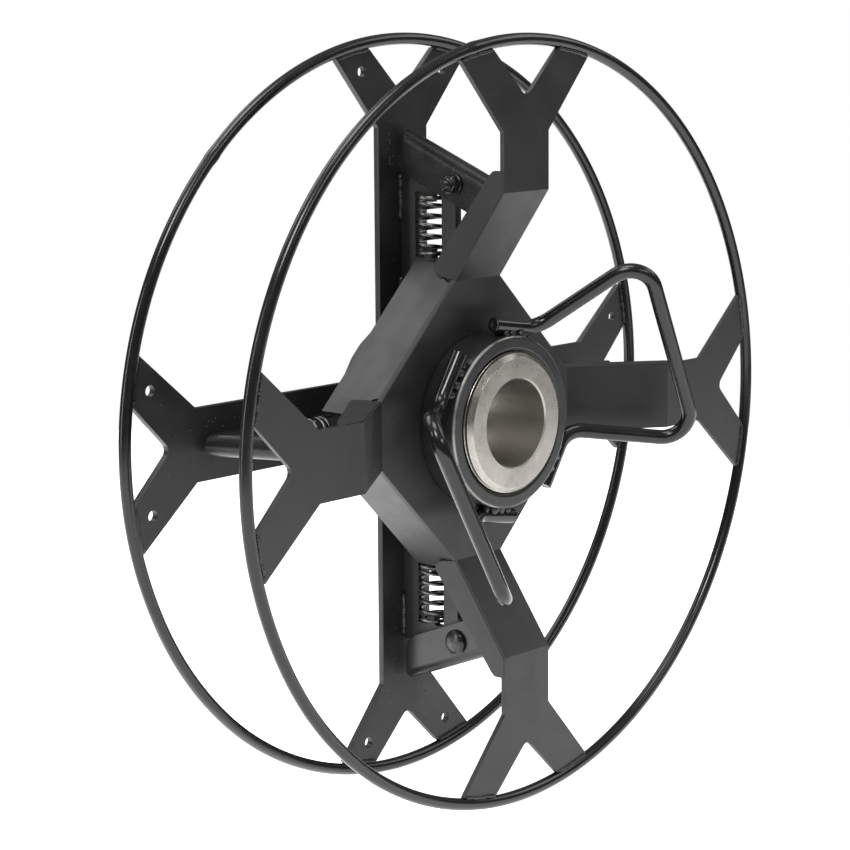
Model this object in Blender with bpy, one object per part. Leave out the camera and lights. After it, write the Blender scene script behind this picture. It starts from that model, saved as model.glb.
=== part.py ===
"""Reel for a coil of welding wire: a steel cross with a rolled outer hoop and a machined hub,
four sprung shoes that grip the coil from inside, and a dished four-arm cover with its own hoop,
held by a two-handled nut on the hub thread.

Metres. The reel axis is Y, the cover faces -Y, +Z is up, and the origin lies on the axis half way
between the two hoops.
"""
import math

import bmesh
import bpy
from mathutils import Matrix, Vector

# ---- driving dimensions -------------------------------------------------------------------
GAP = 0.0003                 # clearance between pieces that touch

HOOP_R = 0.217               # hoop centre line
BAR_R = 0.0035               # round bar of both hoops
HANDLE_R = 0.0044            # round bar of the handles
HANDLE_BEND = 0.0150         # bend radius on its centre line
HOOP_Y = 0.0465              # each hoop's plane, from the middle
HOOP_SIDES = 84
BAR_SIDES = 10

CROSS_Y0 = HOOP_Y            # cross plate, front face
CROSS_T = 0.004
CROSS_HALF = 0.0205          # half width of an arm
TIP_HOLE_R = 0.0032
TIP_HOLE = (0.034, HOOP_R - 0.0185)  # across and out

FORK_JOIN = HOOP_R - 0.051   # where the fork leaves the arm
FORK_OUT = 0.0545            # outer corner of a fork tip, across
FORK_IN = 0.0275             # inner corner of a fork tip, across
FORK_CROTCH = HOOP_R - 0.0305  # foot of the notch
CROTCH_R = 0.005

BORE_R = 0.0255              # 51 mm spindle bore
HUB_R = BORE_R + 0.0151      # threaded nose
CROSS_WEB = HUB_R + 0.0124   # radius of the middle disc of the cross
HUB_BODY_R = HUB_R + 0.0034  # plain body behind the cover
HUB_FRONT = -0.0405
HUB_REAR = HOOP_Y + 0.0075
COLLAR_R = HUB_R + 0.0094

SHEET = 0.003                # cover sheet
COVER_HALF = 0.0193          # half width of a cover arm
COVER_HUB_Y = -0.0115        # front face of the sunk middle
COVER_RIM_Y = -HOOP_Y - 0.0015  # front face of the outer arms
HUB_SEAT = COVER_HUB_Y + SHEET + GAP  # shoulder the cover is pressed against
COVER_BEND_IN = 0.081
COVER_BEND_OUT = 0.1325
COVER_HOLE_R = HUB_R + 0.0014
SKIRT_DEPTH = 0.0355         # wall along each diagonal edge
SKIRT_FLARE = 0.0115         # how much longer it is at its foot, each end

NUT_R = HUB_R + 0.0091
NUT_FRONT = -0.0368
NUT_REAR = -0.0118
NUT_EDGE = 0.0028
THREAD_R = HUB_R + 0.0004

CARRIER_T = 0.005
CARRIER_FOOT = HUB_BODY_R + 0.0016  # inner end, just clear of the hub body
CARRIER_EDGE = 0.0032        # front edge, along Y
CARRIER_TOP = 0.1407
WINDOW_Y = (0.0142, 0.0348)
WINDOW_R = (0.0905, 0.1286)
TONGUE = 0.0032

PIVOT_Y = 0.0010             # shoe bolt
PIVOT_R = 0.1345
BOLT_R = 0.0030
BOLT_HOLE_R = 0.0033
HEAD_R = 0.0074
HEAD_T = 0.0034
NUT_AF = 0.0100
NUT_T = 0.0062
WASHER_R = 0.0065
WASHER_T = 0.0014

SHOE_HALF = 0.0063           # half width of the U
SHOE_SHEET = 0.0030
SHOE_REAR = HOOP_Y - 0.0050
SHOE_FRONT = -0.0270
SHOE_BACK_R = 0.1648         # out to the back, at the rear end
SHOE_SLOPE = 0.405
SHOE_DEPTH = 0.0255

SPRING_R = 0.0090
SPRING_WIRE = 0.0011
SPRING_Y = 0.0245
SPRING_TURNS = 7.0

HANDLE_TURNS = (0.0, math.pi)


# ---- scene and helpers --------------------------------------------------------------------
for old in list(bpy.data.objects):
    bpy.data.objects.remove(old, do_unlink=True)


def material(name, colour, metallic, roughness):
    mat = bpy.data.materials.new(name)
    mat.use_nodes = True
    shader = mat.node_tree.nodes["Principled BSDF"]
    shader.inputs["Base Color"].default_value = (*colour, 1.0)
    shader.inputs["Metallic"].default_value = metallic
    shader.inputs["Roughness"].default_value = roughness
    return mat


BLACK = (0.016, 0.017, 0.018)
STEEL = (0.62, 0.60, 0.56)
DARK = (0.05, 0.05, 0.052)


def place(name, mesh, look, pivot=(0.0, 0.0, 0.0), smooth=0.0):
    """Make an object whose origin is at pivot; the mesh is given in world metres."""
    mesh.transform(Matrix.Translation(-Vector(pivot)))
    obj = bpy.data.objects.new(name, mesh)
    obj.location = pivot
    bpy.context.scene.collection.objects.link(obj)
    mesh.materials.clear()
    mesh.materials.append(material(name, *look))
    for poly in mesh.polygons:
        poly.use_smooth = smooth > 0.0
        poly.material_index = 0
    if smooth > 0.0:
        bm = bmesh.new()
        bm.from_mesh(mesh)
        for edge in bm.edges:
            edge.smooth = edge.calc_face_angle(0.0) < math.radians(smooth)
        bm.to_mesh(mesh)
        bm.free()
    return obj


def mesh_from(verts, faces, name="m"):
    mesh = bpy.data.meshes.new(name)
    mesh.from_pydata([tuple(v) for v in verts], [], faces)
    bm = bmesh.new()
    bm.from_mesh(mesh)
    bmesh.ops.recalc_face_normals(bm, faces=bm.faces)
    bm.to_mesh(mesh)
    bm.free()
    return mesh


def prism(outline, to_world, low, high):
    """Closed prism: a 2D outline carried from low to high along the third direction."""
    count = len(outline)
    verts = [to_world(u, v, low) for u, v in outline]
    verts += [to_world(u, v, high) for u, v in outline]
    faces = [tuple(range(count)), tuple(range(2 * count - 1, count - 1, -1))]
    for i in range(count):
        j = (i + 1) % count
        faces.append((i, j, count + j, count + i))
    return mesh_from(verts, faces)


def front_view(u, v, w):
    """u across, v up, w along the axis."""
    return Vector((u, w, v))


def side_view(u, v, w):
    """u along the axis, v up, w across."""
    return Vector((w, u, v))


def turned(profile, steps, axis="Y"):
    """Closed ring from a closed profile of (radius, position along the axis)."""
    verts = []
    faces = []
    count = len(profile)
    for i in range(steps):
        a = 2.0 * math.pi * i / steps
        for r, y in profile:
            verts.append((r * math.sin(a), y, r * math.cos(a)))
    for i in range(steps):
        n = (i + 1) % steps
        for j in range(count):
            k = (j + 1) % count
            faces.append((i * count + j, i * count + k, n * count + k, n * count + j))
    return mesh_from(verts, faces)


def solid_turned(profile, steps, centre, direction):
    """Solid of revolution about direction through centre; profile of (radius, distance)."""
    direction = Vector(direction).normalized()
    side = direction.orthogonal().normalized()
    other = direction.cross(side)
    centre = Vector(centre)
    verts = []
    rows = []
    for r, d in profile:
        if r < 1e-9:
            rows.append([len(verts)])
            verts.append(centre + direction * d)
            continue
        row = []
        for i in range(steps):
            a = 2.0 * math.pi * (i + 0.5) / steps
            row.append(len(verts))
            verts.append(centre + direction * d + (side * math.cos(a) + other * math.sin(a)) * r)
        rows.append(row)
    faces = []
    for low, high in zip(rows[:-1], rows[1:]):
        for i in range(steps):
            j = (i + 1) % steps
            if len(low) == 1:
                faces.append((low[0], high[j], high[i]))
            elif len(high) == 1:
                faces.append((low[i], low[j], high[0]))
            else:
                faces.append((low[i], low[j], high[j], high[i]))
    if len(rows[0]) > 1:
        faces.append(tuple(reversed(rows[0])))
    if len(rows[-1]) > 1:
        faces.append(tuple(rows[-1]))
    return mesh_from(verts, faces)


def swept(path, radius, sides, closed=False, bevel=0.0):
    """Round bar along a path, without twist."""
    points = [Vector(p) for p in path]
    count = len(points)
    verts = []
    faces = []
    frame_up = None
    ring_of = []
    for i, p in enumerate(points):
        if closed:
            tangent = (points[(i + 1) % count] - points[i - 1]).normalized()
        elif i == 0:
            tangent = (points[1] - p).normalized()
        elif i == count - 1:
            tangent = (p - points[-2]).normalized()
        else:
            tangent = (points[i + 1] - points[i - 1]).normalized()
        if frame_up is None:
            frame_up = tangent.orthogonal().normalized()
        frame_up = (frame_up - tangent * frame_up.dot(tangent)).normalized()
        other = tangent.cross(frame_up)
        ring = []
        for k in range(sides):
            a = 2.0 * math.pi * k / sides
            ring.append(len(verts))
            verts.append(p + (frame_up * math.cos(a) + other * math.sin(a)) * radius)
        ring_of.append(ring)
    spans = count if closed else count - 1
    for i in range(spans):
        low = ring_of[i]
        high = ring_of[(i + 1) % count]
        for k in range(sides):
            n = (k + 1) % sides
            faces.append((low[k], low[n], high[n], high[k]))
    if not closed:
        faces.append(tuple(reversed(ring_of[0])))
        faces.append(tuple(ring_of[-1]))
    return mesh_from(verts, faces)


def combined(base, tools, operation):
    """Boolean of a base mesh with tool meshes, returned as a plain mesh."""
    obj = bpy.data.objects.new("base", base)
    bpy.context.scene.collection.objects.link(obj)
    helpers = []
    for i, mesh in enumerate(tools):
        helper = bpy.data.objects.new("tool_%02d" % i, mesh)
        bpy.context.scene.collection.objects.link(helper)
        helpers.append(helper)
        mod = obj.modifiers.new("b%02d" % i, "BOOLEAN")
        mod.object = helper
        mod.operation = operation
        mod.solver = "EXACT"
    bpy.context.view_layer.update()
    graph = bpy.context.evaluated_depsgraph_get()
    result = bpy.data.meshes.new_from_object(obj.evaluated_get(graph))
    for item in helpers + [obj]:
        bpy.data.objects.remove(item, do_unlink=True)
    bm = bmesh.new()
    bm.from_mesh(result)
    bmesh.ops.remove_doubles(bm, verts=bm.verts, dist=1e-6)
    bmesh.ops.dissolve_limit(bm, angle_limit=math.radians(0.2), verts=bm.verts, edges=bm.edges)
    bmesh.ops.recalc_face_normals(bm, faces=bm.faces)
    bm.to_mesh(result)
    bm.free()
    return result


def quarter(k):
    """Turn about the reel axis that carries the top arm to arm k, clockwise from the front."""
    return Matrix.Rotation(math.radians(90.0 * k), 4, "Y")


def copy_turned(mesh, k):
    fresh = mesh.copy()
    fresh.transform(quarter(k))
    return fresh


def arc(cu, cv, r, a0, a1, steps):
    points = []
    for i in range(steps + 1):
        a = math.radians(a0 + (a1 - a0) * i / steps)
        points.append((cu + r * math.cos(a), cv + r * math.sin(a)))
    return points


def fork_outline(half, low):
    """Arm with a Y fork, pointing up; the tips follow the inside of the hoop."""
    tip_r = HOOP_R - BAR_R - GAP
    right = [(half, low), (half, FORK_JOIN)]
    a_out = math.asin(FORK_OUT / tip_r)
    a_in = math.asin(FORK_IN / tip_r)
    for i in range(5):
        a = a_out + (a_in - a_out) * i / 4.0
        right.append((tip_r * math.sin(a), tip_r * math.cos(a)))
    left = [(-u, v) for u, v in reversed(right)]
    notch = arc(0.0, FORK_CROTCH + CROTCH_R, CROTCH_R, -38.0, -142.0, 4)
    return right + notch + left


# ---- rear half: hoop, cross, hub ----------------------------------------------------------
def hoop_path(y):
    path = []
    for i in range(HOOP_SIDES):
        a = 2.0 * math.pi * i / HOOP_SIDES
        path.append((HOOP_R * math.sin(a), y, HOOP_R * math.cos(a)))
    return path


place("rear_hoop", swept(hoop_path(HOOP_Y), BAR_R, BAR_SIDES, closed=True),
      (BLACK, 0.0, 0.3), smooth=50.0)

cross_y1 = CROSS_Y0 + CROSS_T
web = [(CROSS_WEB * math.cos(t), CROSS_WEB * math.sin(t))
       for t in [2.0 * math.pi * (i + 0.5) / 32 for i in range(32)]]
cross = prism(web, front_view, CROSS_Y0, cross_y1)
arm = prism(fork_outline(CROSS_HALF, 0.045), front_view, CROSS_Y0, cross_y1)
cross = combined(cross, [copy_turned(arm, k) for k in range(4)], "UNION")
cutters = [solid_turned([(HUB_R + GAP, -0.01), (HUB_R + GAP, 0.01)], 64,
                        (0.0, CROSS_Y0 + 0.002, 0.0), (0.0, 1.0, 0.0))]
for k in range(4):
    for side in (-1.0, 1.0):
        at = quarter(k) @ Vector((side * TIP_HOLE[0], CROSS_Y0 + 0.002, TIP_HOLE[1]))
        cutters.append(solid_turned([(TIP_HOLE_R, -0.01), (TIP_HOLE_R, 0.01)], 16, at,
                                    (0.0, 1.0, 0.0)))
cross = combined(cross, cutters, "DIFFERENCE")
place("rear_cross", cross, (BLACK, 0.0, 0.4))

hub_profile = [
    (BORE_R, HUB_FRONT + 0.0010),
    (BORE_R + 0.0010, HUB_FRONT),
    (HUB_R - 0.0018, HUB_FRONT),
    (HUB_R, HUB_FRONT + 0.0018),
    (HUB_R, HUB_FRONT + 0.0050),
    (HUB_R - 0.0009, HUB_FRONT + 0.0056),
    (HUB_R - 0.0009, HUB_FRONT + 0.0068),
    (HUB_R, HUB_FRONT + 0.0074),
    (HUB_R, HUB_SEAT),
    (HUB_BODY_R, HUB_SEAT),
    (HUB_BODY_R, CROSS_Y0 - GAP),
    (HUB_R, CROSS_Y0 - GAP),
    (HUB_R, HUB_REAR - 0.0010),
    (HUB_R - 0.0010, HUB_REAR),
    (BORE_R + 0.0010, HUB_REAR),
    (BORE_R, HUB_REAR - 0.0010),
]
place("hub_tube", turned(hub_profile, 48), (STEEL, 1.0, 0.3), smooth=40.0)

collar_profile = [
    (HUB_R + GAP, cross_y1 + GAP),
    (COLLAR_R, cross_y1 + GAP),
    (COLLAR_R - 0.0058, HUB_REAR - 0.0010),
    (HUB_R + GAP, HUB_REAR - 0.0010),
]
place("hub_collar", turned(collar_profile, 40), (BLACK, 0.0, 0.45), smooth=30.0)


# ---- carriers, shoes, springs and bolts, made for the top arm and turned to the others -----
def shoe_back(y):
    return SHOE_BACK_R + SHOE_SLOPE * (y - SHOE_REAR)


def carrier_mesh():
    foot_y = CROSS_Y0 - GAP
    outline = [
        (foot_y, CARRIER_FOOT),
        (foot_y, CARRIER_TOP - 0.0010),
        (foot_y - 0.0010, CARRIER_TOP),
        (PIVOT_Y - 0.0010, CARRIER_TOP),
        (PIVOT_Y - 0.0052, CARRIER_TOP - 0.0018),
        (PIVOT_Y - 0.0080, PIVOT_R),
        (PIVOT_Y - 0.0070, PIVOT_R - 0.0060),
        (CARRIER_EDGE, PIVOT_R - 0.0130),
        (CARRIER_EDGE, CARRIER_FOOT + 0.012),
        (CARRIER_EDGE + 0.012, CARRIER_FOOT),
    ]
    half = CARRIER_T / 2.0
    plate = prism(outline, side_view, -half, half)
    y0, y1 = WINDOW_Y
    r0, r1 = WINDOW_R
    window = [
        (y0, r0), (SPRING_Y - TONGUE, r0), (SPRING_Y - TONGUE + 0.0006, r0 + 0.0055),
        (SPRING_Y + TONGUE - 0.0006, r0 + 0.0055), (SPRING_Y + TONGUE, r0), (y1, r0),
        (y1, r1), (SPRING_Y + TONGUE, r1), (SPRING_Y + TONGUE - 0.0006, r1 - 0.0055),
        (SPRING_Y - TONGUE + 0.0006, r1 - 0.0055), (SPRING_Y - TONGUE, r1), (y0, r1),
    ]
    hole = solid_turned([(BOLT_HOLE_R, -0.01), (BOLT_HOLE_R, 0.01)], 20,
                        (0.0, PIVOT_Y, PIVOT_R), (1.0, 0.0, 0.0))
    return combined(plate, [prism(window, side_view, -0.01, 0.01), hole], "DIFFERENCE")


def shoe_section(depth, steps=5):
    """U section from the right free edge over the back to the left, then back inside."""
    lean = math.sqrt(1.0 + SHOE_SLOPE ** 2)
    inner = SHOE_HALF - SHOE_SHEET
    outer_pts = []
    inner_pts = []
    for i in range(steps * 2 + 1):
        a = math.pi * i / (steps * 2)
        outer_pts.append((SHOE_HALF * math.cos(a), (SHOE_HALF - SHOE_HALF * math.sin(a)) * lean))
        inner_pts.append((inner * math.cos(a), (SHOE_HALF - inner * math.sin(a)) * lean))
    points = [(SHOE_HALF, depth)] + outer_pts + [(-SHOE_HALF, depth)]
    points += [(-inner, depth)] + list(reversed(inner_pts)) + [(inner, depth)]
    return points


def shoe_mesh():
    stations = [
        (0.0, SHOE_DEPTH - 0.0060), (0.0009, SHOE_DEPTH - 0.0030), (0.0030, SHOE_DEPTH - 0.0009),
        (0.0062, SHOE_DEPTH), (None, SHOE_DEPTH),
    ]
    verts = []
    rows = []
    for back, depth in stations:
        row = []
        for x, d in shoe_section(depth):
            if back is None:
                y = SHOE_FRONT + 0.012 * d / SHOE_DEPTH
            else:
                y = SHOE_REAR - back
            row.append(len(verts))
            verts.append((x, y, shoe_back(y) - d))
        rows.append(row)
    count = len(rows[0])
    faces = []
    for low, high in zip(rows[:-1], rows[1:]):
        for i in range(count):
            j = (i + 1) % count
            faces.append((low[i], low[j], high[j], high[i]))
    faces += strip_caps(rows[0], count) + strip_caps(rows[-1], count)
    body = mesh_from(verts, faces)
    hole = solid_turned([(BOLT_HOLE_R, -0.02), (BOLT_HOLE_R, 0.02)], 20,
                        (0.0, PIVOT_Y, PIVOT_R), (1.0, 0.0, 0.0))
    return combined(body, [hole], "DIFFERENCE")


def strip_caps(row, count):
    """Close a U-shaped end with quads between its outer and inner line."""
    faces = []
    half = count // 2
    for i in range(half - 1):
        faces.append((row[i], row[i + 1], row[count - 2 - i], row[count - 1 - i]))
    return faces


def spring_mesh():
    low = WINDOW_R[0] + SPRING_WIRE + GAP
    high = WINDOW_R[1] - SPRING_WIRE - 0.0008
    lead = SPRING_R - SPRING_WIRE
    steps = int(SPRING_TURNS * 12)
    path = []
    for i in range(steps + 1):
        t = i / steps
        turn = SPRING_TURNS * t
        dead = 1.0 / SPRING_TURNS
        rise = 2.0 * SPRING_WIRE + 0.0002
        if t < dead:
            z = low + rise * t / dead
        elif t > 1.0 - dead:
            z = high - rise * (1.0 - t) / dead
        else:
            z = low + rise + (high - low - 2.0 * rise) * (t - dead) / (1.0 - 2.0 * dead)
        a = 2.0 * math.pi * turn
        path.append((lead * math.sin(a), SPRING_Y + lead * math.cos(a), z))
    return swept(path, SPRING_WIRE, 5)


def bolt_mesh():
    """Head on the +X side of the top arm."""
    seat = SHOE_HALF + GAP
    end = -(SHOE_HALF + WASHER_T + NUT_T + 0.0026)
    profile = [
        (0.0, end), (BOLT_R - 0.0006, end), (BOLT_R, end + 0.0008), (BOLT_R, seat),
        (HEAD_R, seat), (HEAD_R - 0.0002, seat + 0.0008), (HEAD_R * 0.80, seat + 0.0023),
        (HEAD_R * 0.45, seat + HEAD_T - 0.0003), (0.0, seat + HEAD_T),
    ]
    return solid_turned(profile, 16, (0.0, PIVOT_Y, PIVOT_R), (1.0, 0.0, 0.0))


def ring_about_bolt(r_in, r_out, x0, x1, sides, chamfer):
    """Washer or nut on the bolt, from x0 out to x1 on the -X side."""
    verts = []
    faces = []
    steps = 18
    rows = [(r_in, x0), (None, x0), (None, x1 - chamfer), ("c", x1), (r_in, x1)]
    for i in range(steps):
        a = 2.0 * math.pi * i / steps
        if sides == 6:
            wedge = (a % (math.pi / 3.0)) - math.pi / 6.0
            reach = r_out / math.cos(wedge)
        else:
            reach = r_out
        for r, x in rows:
            if r is None:
                radius = reach
            elif r == "c":
                radius = min(reach, r_out) * 0.97
            else:
                radius = r
            verts.append((-x, PIVOT_Y + radius * math.cos(a), PIVOT_R + radius * math.sin(a)))
    for i in range(steps):
        n = (i + 1) % steps
        for j in range(5):
            k = (j + 1) % 5
            faces.append((i * 5 + j, i * 5 + k, n * 5 + k, n * 5 + j))
    return mesh_from(verts, faces)


washer_x0 = SHOE_HALF + GAP
washer_x1 = washer_x0 + WASHER_T
nut_x0 = washer_x1 + GAP
carrier = carrier_mesh()
shoe = shoe_mesh()
spring = spring_mesh()
bolt = bolt_mesh()
washer = ring_about_bolt(BOLT_R + GAP, WASHER_R, washer_x0, washer_x1, 0, 0.0003)
lock_nut = ring_about_bolt(BOLT_R + GAP, NUT_AF / 2.0, nut_x0, nut_x0 + NUT_T, 6, 0.0010)
for k in range(4):
    number = k + 1
    pivot = quarter(k) @ Vector((0.0, PIVOT_Y, PIVOT_R))
    place("carrier_%d" % number, copy_turned(carrier, k), (BLACK, 0.0, 0.4))
    place("shoe_%d" % number, copy_turned(shoe, k), (BLACK, 0.0, 0.3), pivot, smooth=35.0)
    place("shoe_spring_%d" % number, copy_turned(spring, k), (DARK, 1.0, 0.3), smooth=80.0)
    place("shoe_bolt_%d" % number, copy_turned(bolt, k), (DARK, 0.5, 0.35), smooth=30.0)
    place("washer_%d" % number, copy_turned(washer, k), (DARK, 0.5, 0.35), smooth=30.0)
    place("lock_nut_%d" % number, copy_turned(lock_nut, k), (DARK, 0.5, 0.35), smooth=20.0)


# ---- cover --------------------------------------------------------------------------------
PROUD = 0.0003               # bent walls stand this far outside the sheet's cut edge


def cover_core():
    """The sheet itself: sunk middle, four slopes and four forks, as one closed skin."""
    run = COVER_BEND_OUT - COVER_BEND_IN
    rise = COVER_HUB_Y - COVER_RIM_Y
    shift = SHEET * (math.sqrt(run ** 2 + rise ** 2) - run) / rise
    fork = fork_outline(COVER_HALF, COVER_BEND_OUT)
    verts = []
    faces = []

    def add(point, k):
        verts.append(quarter(k) @ Vector(point))
        return len(verts) - 1

    middle_front = []
    middle_back = []
    for k in range(4):
        skins = []
        for y_add, bend in ((0.0, 0.0), (SHEET, shift)):
            left = add((-COVER_HALF, COVER_HUB_Y + y_add, COVER_BEND_IN + bend), k)
            right = add((COVER_HALF, COVER_HUB_Y + y_add, COVER_BEND_IN + bend), k)
            rim = []
            for i, (u, v) in enumerate(fork):
                lift = bend if i in (0, len(fork) - 1) else 0.0
                rim.append(add((u, COVER_RIM_Y + y_add, v + lift), k))
            skins.append((left, right, rim))
        (fl, fr, front), (bl, br, back) = skins
        faces.append((fl, fr, front[0], front[-1]))
        faces.append((br, bl, back[-1], back[0]))
        faces.append(tuple(front))
        faces.append(tuple(reversed(back)))
        faces.append((fr, br, back[0], front[0]))
        faces.append((bl, fl, front[-1], back[-1]))
        for i in range(len(fork) - 1):
            faces.append((front[i], back[i], back[i + 1], front[i + 1]))
        middle_front += [fl, fr]
        middle_back += [bl, br]
    faces.append(tuple(reversed(middle_front)))
    faces.append(tuple(middle_back))
    for k in range(4):
        i = 2 * k + 1
        j = (2 * k + 2) % 8
        faces.append((middle_front[i], middle_front[j], middle_back[j], middle_back[i]))
    return mesh_from(verts, faces)


def arm_flange_outline():
    """Strip bent back along the side of the slope, seen from the side."""
    y_in = COVER_HUB_Y
    y_out = COVER_RIM_Y
    return [
        (y_in + 0.0010, COVER_BEND_IN + 0.0006), (y_out + 0.0010, COVER_BEND_OUT + 0.0006),
        (y_out + 0.0010, COVER_BEND_OUT + 0.0120), (y_out + 0.0080, COVER_BEND_OUT + 0.0120),
        (y_out + 0.0104, COVER_BEND_OUT + 0.0100), (0.0046, 0.0893), (0.0052, 0.0858),
        (-0.0004, 0.0829),
    ]


wide = COVER_HALF + PROUD
flange = prism(arm_flange_outline(), side_view, wide - SHEET, wide)
mirrored = prism(arm_flange_outline(), side_view, -wide, -wide + SHEET)


def skirt_mesh():
    """Wall bent back along the edge between the top arm and the right arm."""
    start = Vector((COVER_HALF, 0.0, COVER_BEND_IN))
    end = Vector((COVER_BEND_IN, 0.0, COVER_HALF))
    along = (end - start).normalized()
    inward = Vector((-1.0, 0.0, -1.0)).normalized()
    y0 = COVER_HUB_Y + 0.0004
    y1 = COVER_HUB_Y + SHEET + SKIRT_DEPTH
    bend = 0.0030
    length = (end - start).length
    shape = [
        (bend, y0), (length - bend, y0),
        (length - bend * 0.4, y0 + 0.006),
        (length + SKIRT_FLARE, y0 + 0.019), (length + SKIRT_FLARE, y1),
        (-SKIRT_FLARE, y1), (-SKIRT_FLARE, y0 + 0.019), (bend * 0.4, y0 + 0.006),
    ]
    verts = []
    for offset in (-PROUD, SHEET - PROUD):
        for s, y in shape:
            verts.append(start + along * s + inward * offset + Vector((0.0, y, 0.0)))
    count = len(shape)
    faces = [tuple(range(count)), tuple(range(2 * count - 1, count - 1, -1))]
    for i in range(count):
        j = (i + 1) % count
        faces.append((i, j, count + j, count + i))
    return mesh_from(verts, faces)


skirt = skirt_mesh()
pieces = []
for k in range(4):
    for part in (flange, mirrored, skirt):
        pieces.append(copy_turned(part, k))
cover = combined(cover_core(), pieces, "UNION")
hole = solid_turned([(COVER_HOLE_R, -0.02), (COVER_HOLE_R, 0.02)], 64,
                    (0.0, COVER_HUB_Y, 0.0), (0.0, 1.0, 0.0))
cover = combined(cover, [hole], "DIFFERENCE")
place("cover_pressing", cover, (BLACK, 0.0, 0.45))
place("front_hoop", swept(hoop_path(-HOOP_Y), BAR_R, BAR_SIDES, closed=True),
      (BLACK, 0.0, 0.3), smooth=50.0)


# ---- spinner nut and its handles ------------------------------------------------------------
nut_profile = [(THREAD_R + 0.0008, NUT_REAR), (NUT_R - 0.0010, NUT_REAR),
               (NUT_R, NUT_REAR - 0.0010), (NUT_R, NUT_FRONT + NUT_EDGE)]
for i in range(1, 5):
    a = math.radians(22.5 * i)
    nut_profile.append((NUT_R - NUT_EDGE + NUT_EDGE * math.cos(a),
                        NUT_FRONT + NUT_EDGE - NUT_EDGE * math.sin(a)))
nut_profile += [(THREAD_R + 0.0012, NUT_FRONT), (THREAD_R, NUT_FRONT + 0.0012),
                (THREAD_R, NUT_REAR - 0.0008)]
place("spinner_nut", turned(nut_profile, 48), (BLACK, 0.0, 0.35),
      (0.0, NUT_FRONT, 0.0), smooth=35.0)


def rounded(points, radius, steps=5):
    """Polyline with each inner corner replaced by an arc of the given radius."""
    points = [Vector(p) for p in points]
    path = [points[0]]
    for a, b, c in zip(points[:-2], points[1:-1], points[2:]):
        before = (a - b).normalized()
        after = (c - b).normalized()
        angle = before.angle(after)
        reach = radius / math.tan(angle / 2.0)
        centre = b + (before + after).normalized() * (radius / math.sin(angle / 2.0))
        first = b + before * reach - centre
        last = b + after * reach - centre
        sweep = first.angle(last)
        for i in range(steps + 1):
            t = i / steps
            blend = first * math.sin((1.0 - t) * sweep) + last * math.sin(t * sweep)
            path.append(centre + blend / math.sin(sweep))
    path.append(points[-1])
    return path


def handle_mesh(turn):
    ring = NUT_R + HANDLE_R + GAP
    weld_y = -0.0300
    first = math.radians(80.7)
    second = math.radians(-33.0)

    def on_ring(angle, along):
        return Vector((ring * math.cos(angle) + along * math.sin(angle), weld_y,
                       ring * math.sin(angle) - along * math.cos(angle)))

    points = [
        on_ring(first, -0.0165), on_ring(first, 0.0200),
        Vector((0.0585, -0.0870, 0.0945)), Vector((0.1180, -0.0810, -0.0215)),
        on_ring(second, -0.0205), on_ring(second, 0.0160),
    ]
    path = rounded(points, HANDLE_BEND)
    mesh = swept(path, HANDLE_R, BAR_SIDES)
    mesh.transform(Matrix.Rotation(turn, 4, "Y"))
    return mesh


for number, turn in enumerate(HANDLE_TURNS, 1):
    place("handle_%d" % number, handle_mesh(turn), (BLACK, 0.0, 0.3),
          (0.0, NUT_FRONT, 0.0), smooth=50.0)
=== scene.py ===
"""Looks for the wire coil reel: fine surfaces, welds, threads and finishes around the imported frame.

Metres. The reel axis is Y, the cover faces -Y and +Z is up, as in the CAD.
"""
import math
import random

import bmesh
import bpy
from mathutils import Matrix, Vector, noise


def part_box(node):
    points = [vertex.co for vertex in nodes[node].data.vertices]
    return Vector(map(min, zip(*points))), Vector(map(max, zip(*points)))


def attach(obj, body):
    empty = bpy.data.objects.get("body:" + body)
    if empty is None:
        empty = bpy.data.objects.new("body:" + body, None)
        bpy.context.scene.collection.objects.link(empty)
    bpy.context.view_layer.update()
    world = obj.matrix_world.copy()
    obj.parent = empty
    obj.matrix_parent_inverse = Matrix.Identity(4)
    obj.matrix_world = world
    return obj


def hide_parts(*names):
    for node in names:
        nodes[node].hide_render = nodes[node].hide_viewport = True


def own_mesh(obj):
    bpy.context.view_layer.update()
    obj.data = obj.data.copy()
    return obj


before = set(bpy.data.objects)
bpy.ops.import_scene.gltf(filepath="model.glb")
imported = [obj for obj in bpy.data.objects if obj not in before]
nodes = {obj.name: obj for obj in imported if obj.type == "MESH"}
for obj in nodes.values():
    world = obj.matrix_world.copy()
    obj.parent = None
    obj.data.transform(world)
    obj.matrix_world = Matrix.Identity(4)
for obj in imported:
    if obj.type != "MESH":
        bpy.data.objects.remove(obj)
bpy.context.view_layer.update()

# ---- sizes the CAD has too ----------------------------------------------------------------
HOOP_R = 0.217
BAR_R = 0.0035
HANDLE_R = 0.0044
HOOP_Y = 0.0465
BORE_R = 0.0255
HUB_R = 0.0406
HUB_BODY_R = 0.0440
HUB_FRONT = -0.0405
HUB_SEAT = -0.0082
HUB_REAR = 0.0540
CROSS_Y0 = 0.0465
COVER_RIM_Y = -0.0480
NUT_R = 0.0497
NUT_FRONT = -0.0368
NUT_REAR = -0.0118
THREAD_R = 0.0410
PITCH = 0.0040
PIVOT_Y = 0.0010
PIVOT_R = 0.1345
SHOE_HALF = 0.0063
BOLT_R = 0.0030
HEAD_R = 0.0074
WINDOW_R = (0.0905, 0.1286)
SPRING_Y = 0.0245
SPRING_R = 0.0090
SPRING_WIRE = 0.0011
SPRING_TURNS = 7.0
TIP_R = HOOP_R - BAR_R - 0.0003


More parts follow.
